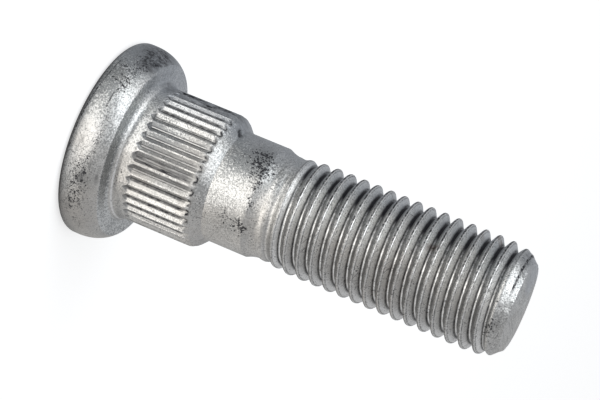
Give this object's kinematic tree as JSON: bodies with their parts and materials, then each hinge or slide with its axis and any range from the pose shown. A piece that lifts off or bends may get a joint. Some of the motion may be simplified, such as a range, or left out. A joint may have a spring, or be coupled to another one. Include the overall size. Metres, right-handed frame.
{
  "type": "wheel stud",
  "caption": "Press-in wheel stud with a round head, a knurled collar, a plain shank and a right-hand metric thread with a chamfered tip.",
  "frame": {"origin": "centre of the head's flat back face, on which the stud stands", "axes": "+Z along the stud's axis, from the head towards the threaded tip"},
  "size_m": [0.021, 0.021, 0.0472],
  "materials": {
    "zinc_plated_steel": "dull zinc plating over forged and rolled steel, handled and slightly stained"
  },
  "bodies": {
    "root": {"wheel_stud": "zinc_plated_steel"}
  },
  "joints": []
}
